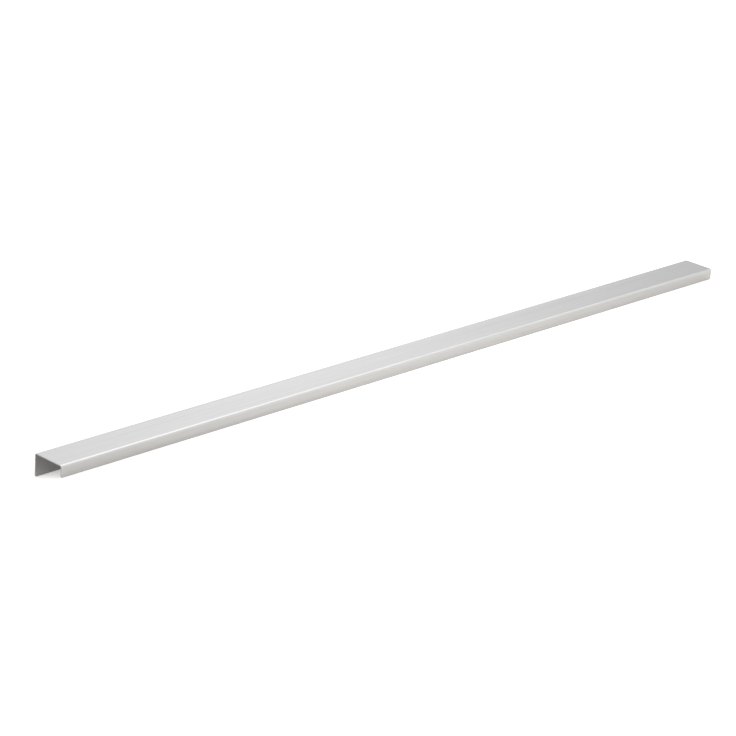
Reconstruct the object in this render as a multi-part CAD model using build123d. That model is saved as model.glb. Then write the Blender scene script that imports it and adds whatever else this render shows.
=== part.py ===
from build123d import *
import os
from math import atan2, degrees, radians, tan

# Edge pull for a drawer or cupboard front: one strip of brushed stainless steel, folded twice
# into a lopsided channel. The web lies on the top edge of the front, the tall back flange is
# screwed to the rear of the front, and the short lip stands off its face as a finger grip.

# Driving dimensions, in millimetres and degrees
length = 1000.0         # along the front
sheet = 1.2             # thickness of the strip
web_depth = 40.0        # front to back, over both flanges
back_height = 25.0      # back flange, down from the top of the web
lip_height = 13.0       # grip lip, down from the top of the web
bend_inside = 1.2       # inside radius of both folds
free_corner = 1.0       # rounding of the free corners of lip and back flange
edge_break = 0.2        # rounding of every cut edge, as left by tumbling

hole_diameter = 4.2     # clearance for a 4 mm countersunk screw
hole_land = 0.4         # straight part of each hole, next to the wood
sink_angle = 90.0       # countersink, open to the rear
hole_rise = 10.5        # hole centres, up from the free edge of the back flange
hole_margin = 50.0      # outermost hole centres, in from the ends
hole_count = 4


def is_sharp(edge, solid):
    """True where the two faces that share an edge meet squarely instead of flowing on."""
    one, other = [face for face in solid.faces() if edge in face.edges()]
    middle = edge @ 0.5
    return abs(one.normal_at(middle).dot(other.normal_at(middle))) < 0.5


def folded_strip():
    """The channel as it hangs on a front: web level, lip towards -Y, top of the web at Z = 0."""
    rear, front = web_depth / 2, -web_depth / 2

    with BuildPart() as strip:
        # The section is the outer skin, thickened inwards by the sheet
        with BuildSketch(Plane.YZ):
            with BuildLine():
                FilletPolyline(
                    (rear, -back_height),
                    (rear, 0),
                    (front, 0),
                    (front, -lip_height),
                    radius=bend_inside + sheet,
                )
                offset(amount=sheet, side=Side.LEFT)
            make_face()
        extrude(amount=length / 2, both=True)

        # Free corners first, then every edge that the shears left sharp
        across = strip.edges().filter_by(Axis.Y)
        lip_foot = across.filter_by_position(Axis.Y, front, 0).group_by(Axis.Z)[0]
        back_foot = across.filter_by_position(Axis.Y, 0, rear).group_by(Axis.Z)[0]
        fillet(lip_foot + back_foot, free_corner)
        fillet([edge for edge in strip.edges() if is_sharp(edge, strip.part)], edge_break)

        # Countersunk holes through the back flange, for screws that are driven from the rear
        hole_pitch = (length - 2 * hole_margin) / (hole_count - 1)
        sink_radius = hole_diameter / 2 + (sheet - hole_land) * tan(radians(sink_angle / 2))
        rear_face = Plane(
            origin=(0, rear, hole_rise - back_height), x_dir=(-1, 0, 0), z_dir=(0, 1, 0)
        )
        with Locations(rear_face):
            with GridLocations(hole_pitch, hole_pitch, hole_count, 1):
                CounterSinkHole(
                    radius=hole_diameter / 2,
                    counter_sink_radius=sink_radius,
                    depth=2 * sheet,
                    counter_sink_angle=sink_angle,
                )
    return strip.part.solid()


def laid_down(pull):
    """The pull as it lies unheld: nose down until the free edges of lip and back flange bear."""
    rest_tilt = degrees(atan2(back_height - lip_height, web_depth - sheet))
    tilted = Rot(X=rest_tilt) * pull
    box = tilted.bounding_box()
    return Pos(-box.center().X, -box.center().Y, -box.min.Z) * tilted


os.makedirs("parts", exist_ok=True)
export_step(laid_down(folded_strip()), "parts/pull_profile.step")
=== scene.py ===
# %% [markdown]
# # An edge pull in brushed steel
# The object is a pull for a drawer or cupboard front: one strip of brushed stainless steel, folded
# twice into a lopsided channel. Its tall back flange is screwed to the rear of the front, its web
# covers the top edge, and its short lip stands off the face as a finger grip.
# The solid is already modelled and packed, so this file only dresses it: it folds a finer strip over
# the same lines, gives it a brushed finish, and lights it as on a white table.

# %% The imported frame
from math import atan2, cos, degrees, hypot, pi, radians, sin, tan

import bmesh
import bpy
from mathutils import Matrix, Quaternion, Vector


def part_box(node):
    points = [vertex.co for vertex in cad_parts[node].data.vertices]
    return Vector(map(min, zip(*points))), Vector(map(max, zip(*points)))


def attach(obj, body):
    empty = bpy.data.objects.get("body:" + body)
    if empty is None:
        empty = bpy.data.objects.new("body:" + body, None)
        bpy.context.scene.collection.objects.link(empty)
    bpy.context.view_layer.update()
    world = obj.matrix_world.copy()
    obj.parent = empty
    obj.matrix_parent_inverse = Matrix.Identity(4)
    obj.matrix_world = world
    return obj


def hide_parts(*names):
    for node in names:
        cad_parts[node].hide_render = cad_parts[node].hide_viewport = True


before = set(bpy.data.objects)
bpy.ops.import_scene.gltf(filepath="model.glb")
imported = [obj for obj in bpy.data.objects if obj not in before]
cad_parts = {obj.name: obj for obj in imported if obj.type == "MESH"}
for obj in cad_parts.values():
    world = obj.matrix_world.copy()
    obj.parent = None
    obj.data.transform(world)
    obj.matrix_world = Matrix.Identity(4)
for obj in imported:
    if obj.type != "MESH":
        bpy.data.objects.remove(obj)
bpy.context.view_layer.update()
print("packed nodes:", sorted(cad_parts))

# %% [markdown]
# ## The sizes
# A maker gives such a strip by its depth, its flanges, its sheet and its radii. They could be measured on
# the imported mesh, but its triangles say little about folds, so they are written down in millimetres and
# turned into Blender's metres once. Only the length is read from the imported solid. The free corners are
# rounded as the photograph shows them, by a millimetre more than on the solid.

# %% Sizes of the strip
MM = 0.001
low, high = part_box("pull_profile")
length = high.x - low.x
sheet = 1.2 * MM
web_depth = 40.0 * MM
back_height = 25.0 * MM
lip_height = 13.0 * MM
fold_outside = 2.4 * MM
free_corner = 2.0 * MM
edge_break = 0.2 * MM
rear, front = web_depth / 2, -web_depth / 2
print(f"strip {length / MM:.1f} mm long, {web_depth / MM:.1f} mm deep")

# %% [markdown]
# ## Choosing edges and faces by where they are
# By hand, one would click on an edge. In a script the same choice is made by a test on its middle
# point or its normal. An operator works on all that is selected, so the helper first clears the
# selection and then adds only what passes the test.

# %% Selection helper
same_place = 0.01 * MM


def choose(piece, kind, test):
    """In edit mode, select only the vertices, edges or faces that pass the test."""
    bpy.ops.mesh.select_mode(type=kind)
    bpy.ops.mesh.select_all(action="DESELECT")
    mesh = bmesh.from_edit_mesh(piece.data)
    parts = {"VERT": mesh.verts, "EDGE": mesh.edges, "FACE": mesh.faces}[kind]
    chosen = [part for part in parts if test(part)]
    for part in chosen:
        part.select = True
    mesh.select_flush_mode()
    bmesh.update_edit_mesh(piece.data)
    return len(chosen)


def middle(edge):
    """The point halfway along an edge."""
    return (edge.verts[0].co + edge.verts[1].co) / 2


def near(a, b):
    """True where two lengths or places are the same, apart from rounding."""
    return abs(a - b) < same_place


# %% [markdown]
# ## The web and its two flanges
# The workshop starts from a flat strip. Here the outer skin of the web is a plane of the right size,
# and each flange is pulled down from its long edge, as the press brake does. A box with its inside cut
# away would give the same outline, but one skin keeps the outer faces exact and the thickness even.

# %% Plane, then two edge extrusions
bpy.ops.object.select_all(action="DESELECT")
bpy.ops.mesh.primitive_plane_add(size=1)
pull = bpy.context.active_object
pull.name = "folded_strip"
pull.scale = (length, web_depth, 1)
bpy.ops.object.transform_apply(scale=True)

bpy.ops.object.mode_set(mode="EDIT")
for edge_y, drop in ((rear, back_height), (front, lip_height)):
    choose(pull, "EDGE", lambda edge: near(middle(edge).y, edge_y))
    bpy.ops.mesh.extrude_edges_move(TRANSFORM_OT_translate={"value": (0, 0, -drop)})
bpy.ops.mesh.select_all(action="SELECT")
bpy.ops.mesh.normals_make_consistent(inside=False)
print("skin of", len(bmesh.from_edit_mesh(pull.data).faces), "faces")

# %% [markdown]
# ## The folds
# Sheet metal can't turn a sharp corner: it wraps round the nose of the punch, and the outside radius
# is the inside radius plus the sheet. Spinning an edge about the axis of the bend would give that round,
# but the flat faces would first have to be cut short. A bevel on the two long corner edges does both at
# once, and on a square corner its offset is the radius itself.

# %% Rounding the two folds
fold_steps = 14
folds = choose(
    pull,
    "EDGE",
    lambda edge: near(edge.calc_length(), length) and edge.is_manifold,
)
bpy.ops.mesh.bevel(offset=fold_outside, segments=fold_steps, profile=0.5, affect="EDGES")
print("folds rounded:", folds)

# %% [markdown]
# ## The free corners
# The four corners that a hand could catch are rounded on the real strip. On the thick sheet, that would
# be a bevel of four short edges. On the bare skin each corner is still a single vertex, so a vertex bevel
# rounds it now, and the thickness follows the round.

# %% Rounding the four free corners
corner_steps = 8
corners = choose(
    pull,
    "VERT",
    lambda vert: near(vert.co.z, -back_height) or near(vert.co.z, -lip_height),
)
bpy.ops.mesh.bevel(offset=free_corner, segments=corner_steps, profile=0.5, affect="VERTICES")
bpy.ops.object.mode_set(mode="OBJECT")
print("corners rounded:", corners)

# %% [markdown]
# ## The sheet's thickness and its broken edges
# The sheet is as thick in its folds as on its flats. Extruding the skin along its normals wouldn't keep it
# so, but Solidify with an even offset does. It grows the skin inwards, and the outer sizes stay. Tumbling
# then breaks the square edges, and so does a bevel with an angle limit. The folds turn by a few degrees
# at each step, far below that limit, so they are left as they are.


# %% Modifier helpers
def pick(piece):
    """Make this object the only one that is selected, and the active one."""
    bpy.ops.object.select_all(action="DESELECT")
    piece.select_set(True)
    bpy.context.view_layer.objects.active = piece


def apply_modifier(piece, kind, **settings):
    """Add a modifier with these settings and apply it at once."""
    pick(piece)
    added = piece.modifiers.new(kind.lower(), kind)
    for name, value in settings.items():
        setattr(added, name, value)
    bpy.ops.object.modifier_apply(modifier=added.name)


# %% Solidify and bevel
edge_steps = 3
square_from = radians(60)
apply_modifier(pull, "SOLIDIFY", thickness=sheet, offset=-1, use_even_offset=True)
apply_modifier(
    pull,
    "BEVEL",
    width=edge_break,
    segments=edge_steps,
    limit_method="ANGLE",
    angle_limit=square_from,
)
print("strip:", len(pull.data.polygons), "faces")

# %% [markdown]
# ## The screw holes
# Four countersunk holes in the back flange take the screws. They could be inset into the flange, but its
# long faces would first have to be cut up round every hole. A boolean leaves them whole. The cutter is
# modelled once: a cylinder of the hole's width, whose rear end is extruded and widened into the
# countersink. An array repeats it along the flange, and one boolean takes all four out of the strip.

# %% One cutter
hole_radius = 2.1 * MM
hole_land = 0.4 * MM
sink_half_angle = radians(45)
hole_rise = 10.5 * MM
hole_z = hole_rise - back_height
overshoot = 0.5 * MM
shank = hole_land + overshoot
flare = sheet - hole_land + overshoot
hole_sides = 64
mostly = 0.8

bpy.ops.object.select_all(action="DESELECT")
bpy.ops.mesh.primitive_cylinder_add(
    vertices=hole_sides,
    radius=hole_radius,
    depth=shank,
    rotation=(-pi / 2, 0, 0),
    location=(0, rear - sheet - overshoot + shank / 2, hole_z),
)
cutter = bpy.context.active_object
cutter.name = "hole_cutter"
bpy.ops.object.transform_apply()
bpy.ops.object.mode_set(mode="EDIT")
choose(cutter, "FACE", lambda face: face.normal.y > mostly)
bpy.ops.mesh.extrude_region_move(TRANSFORM_OT_translate={"value": (0, flare, 0)})
widen = 1 + flare * tan(sink_half_angle) / hole_radius
bpy.ops.transform.resize(value=(widen, 1, widen), center_override=(0, rear, hole_z))
bpy.ops.mesh.select_all(action="SELECT")
bpy.ops.mesh.normals_make_consistent(inside=False)
bpy.ops.object.mode_set(mode="OBJECT")
sink_radius = hole_radius + (sheet - hole_land) * tan(sink_half_angle)
print(f"countersink {2 * sink_radius / MM:.1f} mm across")

# %% Four holes in a row
hole_margin = 50.0 * MM
hole_count = 4
pitch = (length - 2 * hole_margin) / (hole_count - 1)
hole_row = [hole_margin - length / 2 + step * pitch for step in range(hole_count)]
cutter.location.x = hole_row[0]
apply_modifier(
    cutter,
    "ARRAY",
    count=hole_count,
    use_relative_offset=False,
    use_constant_offset=True,
    constant_offset_displace=(pitch, 0, 0),
)
apply_modifier(pull, "BOOLEAN", operation="DIFFERENCE", solver="EXACT", object=cutter)
bpy.data.objects.remove(cutter)
print("holes at", [round(hole_x / MM) for hole_x in hole_row])

# %% [markdown]
# ## Which tool made which face
# Shears cut the ends and the free edges, a countersink cut the holes, and everything else is the brushed
# skin of the sheet. By hand, one would pick the faces. Here their normals tell them apart, as long as the
# web is level: on a flange, the normal of a sheared face hardly leans across the sheet. Most of the small
# round beside a cut counts as brushed, because tumbling polishes it.

# %% Tests for the faces
hardly = 0.3


def in_hole(face):
    """The hole whose wall this face is, as the place of its axis, or None."""
    for hole_x in hole_row:
        off_axis = hypot(face.center.x - hole_x, face.center.z - hole_z)
        if face.center.y > 0 and off_axis < sink_radius and abs(face.normal.y) < mostly:
            return hole_x
    return None


def on_end(face):
    """True for a face that closes the strip at one of its two ends."""
    return abs(face.normal.x) > mostly


def is_sheared(face):
    """True for a face at an end of the strip, or on the free edge or a corner of a flange."""
    on_flange = face.center.z < -fold_outside
    return on_end(face) or (on_flange and abs(face.normal.y) < hardly)


# %% Sorting the faces
hole_of_face = {}
sheared_faces = set()
for face in pull.data.polygons:
    hole_x = in_hole(face)
    if hole_x is not None:
        hole_of_face[face.index] = hole_x
    elif is_sheared(face):
        sheared_faces.add(face.index)
print(len(pull.data.polygons), "faces,", len(sheared_faces), "sheared,", len(hole_of_face), "in holes")

# %% [markdown]
# ## The directions of the tool marks
# The strip is brushed flat, before it is folded, so the lines run along it and turn the corner with the
# folds. The countersinks are turned, so their lines run round the hole. A UV map can hold both: U is
# the distance along the lines and V the distance across them, in metres. Unwrapping would scale the
# islands, so the two distances are worked out.


# %% Places on the flat strip and round a hole
def across_strip(y, z):
    """Distance across the flat strip, from the middle of the web towards the back flange."""
    side = 1 if y > 0 else -1
    flat = web_depth / 2 - fold_outside
    beyond, below = abs(y) - flat, z + fold_outside
    if beyond <= 0 and below >= 0:
        return y
    turn = min(max(atan2(beyond, below), 0), pi / 2)
    return side * (flat + (fold_outside - sheet / 2) * turn + max(-below, 0))


def round_hole(place, hole_x, face):
    """Distance round the hole and along its axis. The turn is counted from the face's own middle."""
    start = atan2(face.center.z - hole_z, face.center.x - hole_x)
    turn = atan2(place.z - hole_z, place.x - hole_x) - start
    turn = (turn + pi) % (2 * pi) - pi
    return (start + turn) * hole_radius, place.y


# %% The map of the tool marks
mark_map = pull.data.uv_layers.new(name="tool_marks")
for face in pull.data.polygons:
    for loop in face.loop_indices:
        place = pull.data.vertices[pull.data.loops[loop].vertex_index].co
        if face.index in hole_of_face:
            mark_map.data[loop].uv = round_hole(place, hole_of_face[face.index], face)
        elif on_end(face):
            mark_map.data[loop].uv = (place.y, place.z)
        else:
            mark_map.data[loop].uv = (place.x, across_strip(place.y, place.z))
strip_width = across_strip(rear, -back_height) - across_strip(front, -lip_height)
print(f"the flat strip was {strip_width / MM:.1f} mm wide")

# %% [markdown]
# ## Laying it down
# Off its drawer, the pull tips forward until the free edges of lip and back flange both bear. The strip
# was modelled with a level web, so it is turned by that angle and set on the floor where the packed
# solid lies. Turning the object alone would be enough for the eye, but a finished piece keeps its place in
# its mesh, so the turn and the move are applied. Smooth shading then joins the small steps of the folds,
# and weighted normals keep the large faces flat up to their edges.

# %% Turning the strip to its rest
pick(pull)
rest_tilt = atan2(back_height - lip_height, web_depth - sheet)
pull.rotation_euler.x = rest_tilt
bpy.ops.object.transform_apply()
ys = [vert.co.y for vert in pull.data.vertices]
zs = [vert.co.z for vert in pull.data.vertices]
pull.location = (0, (low.y + high.y - min(ys) - max(ys)) / 2, low.z - min(zs))
bpy.ops.object.transform_apply()
print(f"rest tilt {degrees(rest_tilt):.2f} degrees")

# %% Smooth folds and flat faces
smooth_below = radians(32)
pick(pull)
bpy.ops.object.shade_smooth_by_angle(angle=smooth_below)
apply_modifier(pull, "WEIGHTED_NORMAL", keep_sharp=True, weight=100)
print("sharp edges:", sum(edge.use_edge_sharp for edge in pull.data.edges))

# %% [markdown]
# ## The grain of the tool marks
# Brushing leaves fine scratches side by side: each is a fraction of a millimetre wide and some
# centimetres long. A wave texture would draw lines too, but as even as print. Noise that is stretched
# far along U gives uneven ones, and a second, coarser layer gives the soft streaks that a brushing belt
# leaves. The grain is a node group, because the brushed skin, the sheared ends and the turned holes all
# use it, each with its own number of lines in a metre.


# %% Node helpers
def node(tree, kind, **settings):
    """A new node of this kind in the tree, with these settings."""
    made = tree.nodes.new(kind)
    for name, value in settings.items():
        setattr(made, name, value)
    return made


def new_group(name, inputs, outputs):
    """A node group with these sockets, and the two nodes inside that stand for them."""
    group = bpy.data.node_groups.new(name, "ShaderNodeTree")
    for label, kind in inputs:
        group.interface.new_socket(label, in_out="INPUT", socket_type=kind)
    for label, kind in outputs:
        group.interface.new_socket(label, in_out="OUTPUT", socket_type=kind)
    return group, node(group, "NodeGroupInput"), node(group, "NodeGroupOutput")


def stretched(tree, value, span, target):
    """The value, stretched from one span of numbers to another and held inside it."""
    stretch = node(tree, "ShaderNodeMapRange")
    labels = ("From Min", "From Max", "To Min", "To Max")
    for label, number in zip(labels, (*span, *target)):
        stretch.inputs[label].default_value = number
    tree.links.new(value, stretch.inputs["Value"])
    return stretch.outputs["Result"]


# %% Node group for the grain
streak_scale = (0.16, 0.1, 1)
usual_noise = (0.28, 0.72)
grain, grain_in, grain_out = new_group(
    "tool_marks_grain",
    [("Vector", "NodeSocketVector"), ("Lines Per Metre", "NodeSocketVector")],
    [("Scratches", "NodeSocketFloat"), ("Streaks", "NodeSocketFloat")],
)
fine = node(grain, "ShaderNodeVectorMath", operation="MULTIPLY")
grain.links.new(grain_in.outputs["Vector"], fine.inputs[0])
grain.links.new(grain_in.outputs["Lines Per Metre"], fine.inputs[1])
coarse = node(grain, "ShaderNodeMapping")
coarse.inputs["Scale"].default_value = streak_scale
grain.links.new(fine.outputs[0], coarse.inputs["Vector"])
for label, place, detail in (
    ("Scratches", fine.outputs[0], 4),
    ("Streaks", coarse.outputs["Vector"], 3),
):
    layer = node(grain, "ShaderNodeTexNoise", noise_dimensions="2D")
    layer.inputs["Scale"].default_value = 1
    layer.inputs["Detail"].default_value = detail
    layer.inputs["Roughness"].default_value = 0.6
    grain.links.new(place, layer.inputs["Vector"])
    contrast = stretched(grain, layer.outputs["Fac"], span=usual_noise, target=(0, 1))
    grain.links.new(contrast, grain_out.inputs[label])
print("node group:", grain.name, "with", len(grain.nodes), "nodes")

# %% [markdown]
# ## The three finishes
# All three are metal through and through. One material could hold them with masks, but a face has only one
# finish, so three material slots are simpler. The marks show in the colour, in the roughness and in a
# shallow bump. The brushed skin also gleams across its lines more than along them, which the anisotropy
# gives. The sheared ends are duller and rougher, and the turned holes are finer and brighter.

# %% Material helper
streak_share = 0.4
roughness_swing = 0.05


def steel(name, color, roughness, lines, vary, depth):
    """A metal whose colour, roughness and bump follow the grain of its tool marks."""
    material = bpy.data.materials.new(name)
    material.use_nodes = True
    tree = material.node_tree
    shader = tree.nodes["Principled BSDF"]
    shader.inputs["Metallic"].default_value = 1.0
    place = node(tree, "ShaderNodeUVMap", uv_map="tool_marks")
    marks = node(tree, "ShaderNodeGroup", node_tree=grain)
    marks.inputs["Lines Per Metre"].default_value = lines
    tree.links.new(place.outputs["UV"], marks.inputs["Vector"])

    both = node(tree, "ShaderNodeMix")
    both.inputs["Factor"].default_value = streak_share
    tree.links.new(marks.outputs["Scratches"], both.inputs["A"])
    tree.links.new(marks.outputs["Streaks"], both.inputs["B"])
    tint = node(tree, "ShaderNodeMix", data_type="RGBA")
    tint.inputs["A"].default_value = (*[part * (1 - vary) for part in color], 1)
    tint.inputs["B"].default_value = (*[part * (1 + vary) for part in color], 1)
    tree.links.new(both.outputs["Result"], tint.inputs["Factor"])
    tree.links.new(tint.outputs["Result"], shader.inputs["Base Color"])

    limits = (roughness - roughness_swing, roughness + roughness_swing)
    uneven = stretched(tree, marks.outputs["Scratches"], span=(0, 1), target=limits)
    tree.links.new(uneven, shader.inputs["Roughness"])
    bump = node(tree, "ShaderNodeBump")
    bump.inputs["Distance"].default_value = depth
    tree.links.new(marks.outputs["Scratches"], bump.inputs["Height"])
    tree.links.new(bump.outputs["Normal"], shader.inputs["Normal"])
    return material


# %% Brushed, sheared and turned steel
brushed = steel(
    "brushed_skin",
    color=(0.632, 0.632, 0.632),
    roughness=0.34,
    lines=(14, 4200, 1),
    vary=0.12,
    depth=0.002 * MM,
)
sheared = steel(
    "sheared_end",
    color=(0.46, 0.455, 0.45),
    roughness=0.5,
    lines=(2600, 2600, 1),
    vary=0.2,
    depth=0.006 * MM,
)
turned = steel(
    "turned_hole",
    color=(0.6, 0.6, 0.595),
    roughness=0.3,
    lines=(60, 9000, 1),
    vary=0.12,
    depth=0.002 * MM,
)
print("finishes:", brushed.name, sheared.name, turned.name)

# %% Gleam across the brush lines
tree = brushed.node_tree
shader = tree.nodes["Principled BSDF"]
shader.inputs["Anisotropic"].default_value = 0.5
shader.inputs["Anisotropic Rotation"].default_value = 0.25
along = node(tree, "ShaderNodeTangent", direction_type="UV_MAP", uv_map="tool_marks")
tree.links.new(along.outputs["Tangent"], shader.inputs["Tangent"])
print("gleam follows", along.uv_map)

# %% Giving each face its finish
for material in (brushed, sheared, turned):
    pull.data.materials.append(material)
slot_of = {material.name: slot for slot, material in enumerate(pull.data.materials)}
for face in pull.data.polygons:
    if face.index in hole_of_face:
        face.material_index = slot_of[turned.name]
    elif face.index in sheared_faces:
        face.material_index = slot_of[sheared.name]
    else:
        face.material_index = slot_of[brushed.name]
print("material slots:", slot_of)

# %% [markdown]
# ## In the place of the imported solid
# The dressed strip is now shown instead of the plain solid, which stays behind for weight and contact. The
# pull has no joints, so there is only one body for it to ride on.

# %% The strip joins the frame
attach(pull, "root")
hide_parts("pull_profile")
print("dressed:", pull.name)

# %% [markdown]
# ## The white table
# The pull lies on a white table without a visible edge. A strong lamp could burn the table white, but it
# would burn the steel too. So the floor is a matt white that takes the object's shadow, and it has some
# light of its own: the camera sees all of it, a gloss mirrors a little of it, and it lights nothing else.


# %% Bare material
def bare_material(piece, name):
    """A new material on the piece, with nothing in it but the output."""
    material = bpy.data.materials.new(name)
    material.use_nodes = True
    material.cycles.emission_sampling = "NONE"
    piece.data.materials.append(material)
    tree = material.node_tree
    tree.nodes.clear()
    return tree, node(tree, "ShaderNodeOutputMaterial")


# %% Floor
floor_size = 160
bpy.ops.object.select_all(action="DESELECT")
bpy.ops.mesh.primitive_plane_add(size=floor_size)
floor = bpy.context.active_object
floor.name = "white_floor"
print(f"floor {floor_size} m wide")


# %% Light of the floor's own
def own_light(tree, mirrored, seen):
    """A level for rays from the camera, one for rays from a gloss or a glass, and none for the rest."""
    rays = node(tree, "ShaderNodeLightPath")
    bounced = node(tree, "ShaderNodeMath", operation="MAXIMUM")
    tree.links.new(rays.outputs["Is Glossy Ray"], bounced.inputs[0])
    tree.links.new(rays.outputs["Is Transmission Ray"], bounced.inputs[1])
    level = stretched(tree, bounced.outputs[0], span=(0, 1), target=(0, mirrored))
    pick_level = node(tree, "ShaderNodeMix")
    tree.links.new(rays.outputs["Is Camera Ray"], pick_level.inputs["Factor"])
    tree.links.new(level, pick_level.inputs["A"])
    pick_level.inputs["B"].default_value = seen
    return pick_level.outputs["Result"]


# %% White of the floor
warm_white = (0.83, 0.805, 0.77, 1)
tree, output = bare_material(floor, "pale_floor")
matt = node(tree, "ShaderNodeBsdfDiffuse")
matt.inputs["Color"].default_value = warm_white
lift = node(tree, "ShaderNodeEmission")
tree.links.new(own_light(tree, mirrored=0.1, seen=0.42), lift.inputs["Strength"])
both = node(tree, "ShaderNodeAddShader")
tree.links.new(matt.outputs[0], both.inputs[0])
tree.links.new(lift.outputs[0], both.inputs[1])
tree.links.new(both.outputs[0], output.inputs["Surface"])
print("floor's nodes:", len(tree.nodes))

# %% [markdown]
# ## The white room
# Bright metal shows what is round it, so a photographer stands white walls round it. Planes could stand for
# the walls, but a world of plain white does the same from every side: it fills the shadows and gives the
# steel something white to mirror.

# %% World
world = bpy.data.worlds.new("white_room")
bpy.context.scene.world = world
world.use_nodes = True
world.cycles.sampling_method = "NONE"
tree = world.node_tree
tree.nodes.clear()
output = node(tree, "ShaderNodeOutputWorld")
sky = node(tree, "ShaderNodeBackground")
sky.inputs["Color"].default_value = (1, 1, 1, 1)
sky.inputs["Strength"].default_value = 1
tree.links.new(sky.outputs[0], output.inputs["Surface"])
print("world:", world.name)

# %% [markdown]
# ## The lamps
# One large soft box hangs high up on the right. It draws the bright line along the front fold, and it
# gives the shadow on the table a direction. A small lamp close over the table would do so too, but it
# would burn a white patch into the flat web. From this far off, the web mirrors the soft box only from
# the left. A weak lamp at the front left brightens the table that the lip mirrors, and the metal doesn't
# mirror the lamp itself.


# %% Lamp helper
def soft_box(name, place, aim, size, power, spread):
    """A rectangular lamp that is aimed at a point, and that the camera doesn't see."""
    lamp = bpy.data.lights.new(name, "AREA")
    lamp.shape = "RECTANGLE"
    lamp.size, lamp.size_y = size
    lamp.energy = power
    lamp.spread = radians(spread)
    box = bpy.data.objects.new(name, lamp)
    bpy.context.collection.objects.link(box)
    box.location = place
    box.rotation_euler = (Vector(aim) - Vector(place)).to_track_quat("-Z", "Y").to_euler()
    box.visible_camera = False
    return box


# %% Two soft boxes
top_box = soft_box(
    "top_soft_box",
    place=(3.1, -0.45, 3.9),
    aim=(0, 0, 0),
    size=(4.2, 2.5),
    power=33,
    spread=180,
)
front_box = soft_box(
    "front_soft_box",
    place=(-0.75, -0.95, 0.55),
    aim=(0.03, -0.05, 0),
    size=(0.25, 0.25),
    power=0.37,
    spread=37,
)
front_box.visible_glossy = False
print("lamps:", top_box.name, front_box.name)

# %% [markdown]
# ## The graded card
# In the photograph the web is brightest left of its middle and grows darker towards its far end. A
# gradient in the steel's own colour would look right from one side only. A card behind and to the right of
# the table does it as in a studio: its shade goes from light grey over white to black, and only the
# gloss of the metal sees it.

# %% Card
card_place = Vector((2.7, 1.6, 1.6))
card_width, card_height = 3.0, 2.6
bpy.ops.object.select_all(action="DESELECT")
bpy.ops.mesh.primitive_plane_add(size=1, location=card_place)
card = bpy.context.active_object
card.name = "graded_card"
card.scale = (card_width, card_height, 1)
card.rotation_euler = (-card_place).to_track_quat("Z", "Y").to_euler()
card.visible_camera = False
card.visible_shadow = False
card.visible_diffuse = False
print("card:", card.name)

# %% Grey of the card
tree, output = bare_material(card, "graded_grey")
grey = node(tree, "ShaderNodeEmission")
on_card = node(tree, "ShaderNodeTexCoord")
split = node(tree, "ShaderNodeSeparateXYZ")
grading = node(tree, "ShaderNodeValToRGB")
shades = ((0, 0.78), (0.36, 1.18), (0.92, 0))
stops = grading.color_ramp.elements
stops.new(shades[1][0])
for stop, (place, shade) in zip(stops, shades):
    stop.position = place
    stop.color = (shade, shade, shade, 1)
tree.links.new(on_card.outputs["UV"], split.inputs[0])
tree.links.new(split.outputs["X"], grading.inputs["Fac"])
tree.links.new(grading.outputs["Color"], grey.inputs["Color"])
tree.links.new(grey.outputs[0], output.inputs["Surface"])
print("card's shades:", [shade for place, shade in shades])

# %% [markdown]
# ## The camera
# The photograph looks along the strip from its left, a little above the web, through a long lens. There the
# web is about level. Here the pull lies tipped forward, so the camera is tipped with it: it stands lower
# and rolls to the right. Its place is given by the point that it looks at, two angles and a distance,
# because these are easier to adjust than coordinates.

# %% Camera
camera_aim = Vector((-0.0328, 0.0285, 0.0066))
azimuth = radians(-43.47)
elevation = radians(8.7)
roll = radians(-8.62)
distance = 3.116
focal_length = 141.3
back = Vector((sin(azimuth) * cos(elevation), -cos(azimuth) * cos(elevation), sin(elevation)))
lens = bpy.data.cameras.new("photo_camera")
lens.lens = focal_length
lens.clip_end = 500
camera = bpy.data.objects.new("photo_camera", lens)
bpy.context.collection.objects.link(camera)
camera.location = camera_aim + back * distance
camera.rotation_mode = "QUATERNION"
camera.rotation_quaternion = (-back).to_track_quat("-Z", "Y") @ Quaternion((0, 0, 1), roll)
bpy.context.scene.camera = camera
bpy.context.scene.view_settings.view_transform = "Standard"
print(f"camera {distance:.2f} m away, {focal_length:.0f} mm lens")
